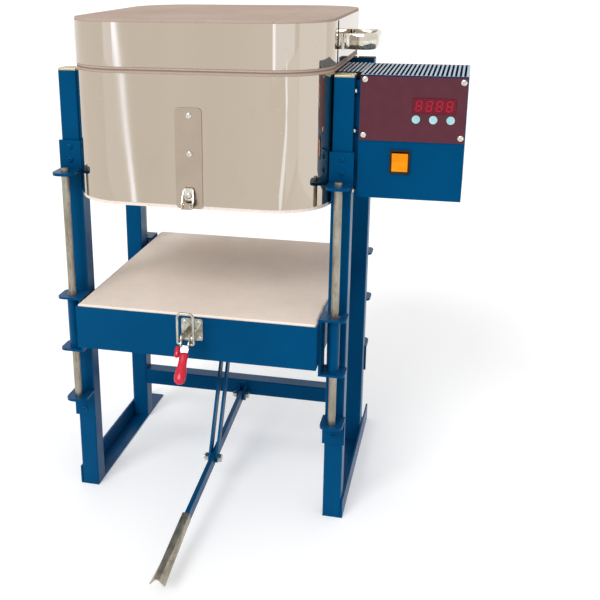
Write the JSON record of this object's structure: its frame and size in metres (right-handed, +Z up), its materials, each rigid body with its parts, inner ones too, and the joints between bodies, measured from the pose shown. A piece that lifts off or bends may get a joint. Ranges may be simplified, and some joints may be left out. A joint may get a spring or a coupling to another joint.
{
  "type": "glass kiln",
  "caption": "Floor-standing electric glass kiln: rounded-square stainless fired ring with a lift-off lid, a hearth that a foot lever raises on guide rods, a draw latch and a side control box.",
  "frame": {"origin": "Centre of the bounding box on the floor plane, below the kiln.", "axes": "+Z is up, -Y is the operator's side with the pedal and the latch, +X is the operator's right with the control box. The hearth is at its lowest, the lid is closed and the latch hangs open."},
  "size_m": [0.6726, 0.6624, 0.852],
  "materials": {
    "blue_paint": "satin",
    "vent_paint": "satin",
    "stainless_band": "polished",
    "polished_strap": "polished",
    "zinc_steel": "plated",
    "rod_steel": "ground",
    "firebrick": "rough",
    "hearth_slab": "rough",
    "element_wire": "oxidised",
    "red_grip": "dipped",
    "pedal_sheet": "worn",
    "panel_maroon": "satin",
    "display_red": "glossy",
    "button_pale_blue": "matte",
    "black_plastic": "matte",
    "amber_lens": "glossy",
    "circuit_green": "matte",
    "relay_grey": "matte"
  },
  "bodies": {
    "frame": {"base_rail_left": "blue_paint", "base_rail_right": "blue_paint", "catch_plate": "stainless_band", "control_box_shell": "blue_paint", "control_box_vent": "vent_paint", "controller_board": "circuit_green", "controller_panel": "panel_maroon", "cord_gland": "black_plastic", "display_window": "display_red", "guide_rod_front_left": "rod_steel", "guide_rod_front_right": "rod_steel", "guide_rod_rear_left": "rod_steel", "guide_rod_rear_right": "rod_steel", "heating_element": "element_wire", "lever_clevis": "blue_paint", "lever_pivot_bolt": "zinc_steel", "lower_rod_bracket_front_left": "blue_paint", "lower_rod_bracket_front_right": "blue_paint", "lower_rod_bracket_rear_left": "blue_paint", "lower_rod_bracket_rear_right": "blue_paint", "post_front_left": "blue_paint", "post_front_right": "blue_paint", "post_rear_left": "blue_paint", "post_rear_right": "blue_paint", "power_relay": "relay_grey", "rear_cross_rail": "blue_paint", "ring_bricks": "firebrick", "ring_jacket": "stainless_band", "switch_bezel": "black_plastic", "thermocouple": "zinc_steel", "upper_rod_bracket_front_left": "blue_paint", "upper_rod_bracket_front_right": "blue_paint", "upper_rod_bracket_rear_left": "blue_paint", "upper_rod_bracket_rear_right": "blue_paint", "wiring_duct": "relay_grey"},
    "hearth": {"hearth_tray": "blue_paint", "hearth_slab": "hearth_slab", "latch_base": "zinc_steel", "hearth_clevis": "blue_paint", "hearth_guide_front_left": "blue_paint", "hearth_guide_front_right": "blue_paint", "hearth_guide_rear_left": "blue_paint", "hearth_guide_rear_right": "blue_paint"},
    "foot_lever": {"foot_lever": "blue_paint", "pedal_shoe": "pedal_sheet", "link_bolt": "zinc_steel"},
    "lift_link": {"link_strap_left": "blue_paint", "link_strap_right": "blue_paint", "link_top_pin": "zinc_steel"},
    "lid": {"lid_jacket": "stainless_band", "lid_bricks": "firebrick", "lid_handle_left": "polished_strap", "lid_handle_right": "polished_strap"},
    "latch_handle": {"latch_handle": "zinc_steel", "latch_grip": "red_grip"},
    "latch_hook": {"latch_hook": "zinc_steel"},
    "switch_rocker": {"switch_rocker": "amber_lens"},
    "button_start": {"button_start": "button_pale_blue"},
    "button_up": {"button_up": "button_pale_blue"},
    "button_down": {"button_down": "button_pale_blue"}
  },
  "joints": [
    {"name": "hearth_lift", "type": "slide", "parent": "frame", "child": "hearth", "axis": [0, 0, 1], "range_m": [0, 0.1775]},
    {"name": "lever_swing", "type": "hinge", "parent": "frame", "child": "foot_lever", "pos_m": [-0.07278, 0.21415, 0.085], "axis": [-1, 0, 0], "range_deg": [0, 44.6]},
    {"name": "link_swing", "type": "hinge", "parent": "foot_lever", "child": "lift_link", "pos_m": [-0.07278, -0.00189, 0.06077], "axis": [1, 0, 0], "range_deg": [0, 55.4]},
    {"name": "lid_lift", "type": "slide", "parent": "frame", "child": "lid", "axis": [0, 0, 1], "range_m": [0, 0.15]},
    {"name": "latch_handle_swing", "type": "hinge", "parent": "hearth", "child": "latch_handle", "pos_m": [-0.07278, -0.14685, 0.357], "axis": [-1, 0, 0], "range_deg": [0, 100]},
    {"name": "latch_hook_swing", "type": "hinge", "parent": "latch_handle", "child": "latch_hook", "pos_m": [-0.07278, -0.15685, 0.352], "axis": [1, 0, 0], "range_deg": [0, 100.5]},
    {"name": "power_switch", "type": "hinge", "parent": "frame", "child": "switch_rocker", "pos_m": [0.24177, -0.04285, 0.639], "axis": [-1, 0, 0], "range_deg": [0, 14]},
    {"name": "press_start", "type": "slide", "parent": "frame", "child": "button_start", "axis": [0, 1, 0], "range_m": [0, 0.001], "stiffness_N_per_m": 800},
    {"name": "press_up", "type": "slide", "parent": "frame", "child": "button_up", "axis": [0, 1, 0], "range_m": [0, 0.001], "stiffness_N_per_m": 800},
    {"name": "press_down", "type": "slide", "parent": "frame", "child": "button_down", "axis": [0, 1, 0], "range_m": [0, 0.001], "stiffness_N_per_m": 800}
  ],
  "couplings": [
    {"joint": "lever_swing", "follows": "hearth_lift", "rad_per_m": 4.378},
    {"joint": "link_swing", "follows": "hearth_lift", "rad_per_m": 5.4372},
    {"joint": "latch_hook_swing", "follows": "latch_handle_swing", "ratio": 1}
  ]
}
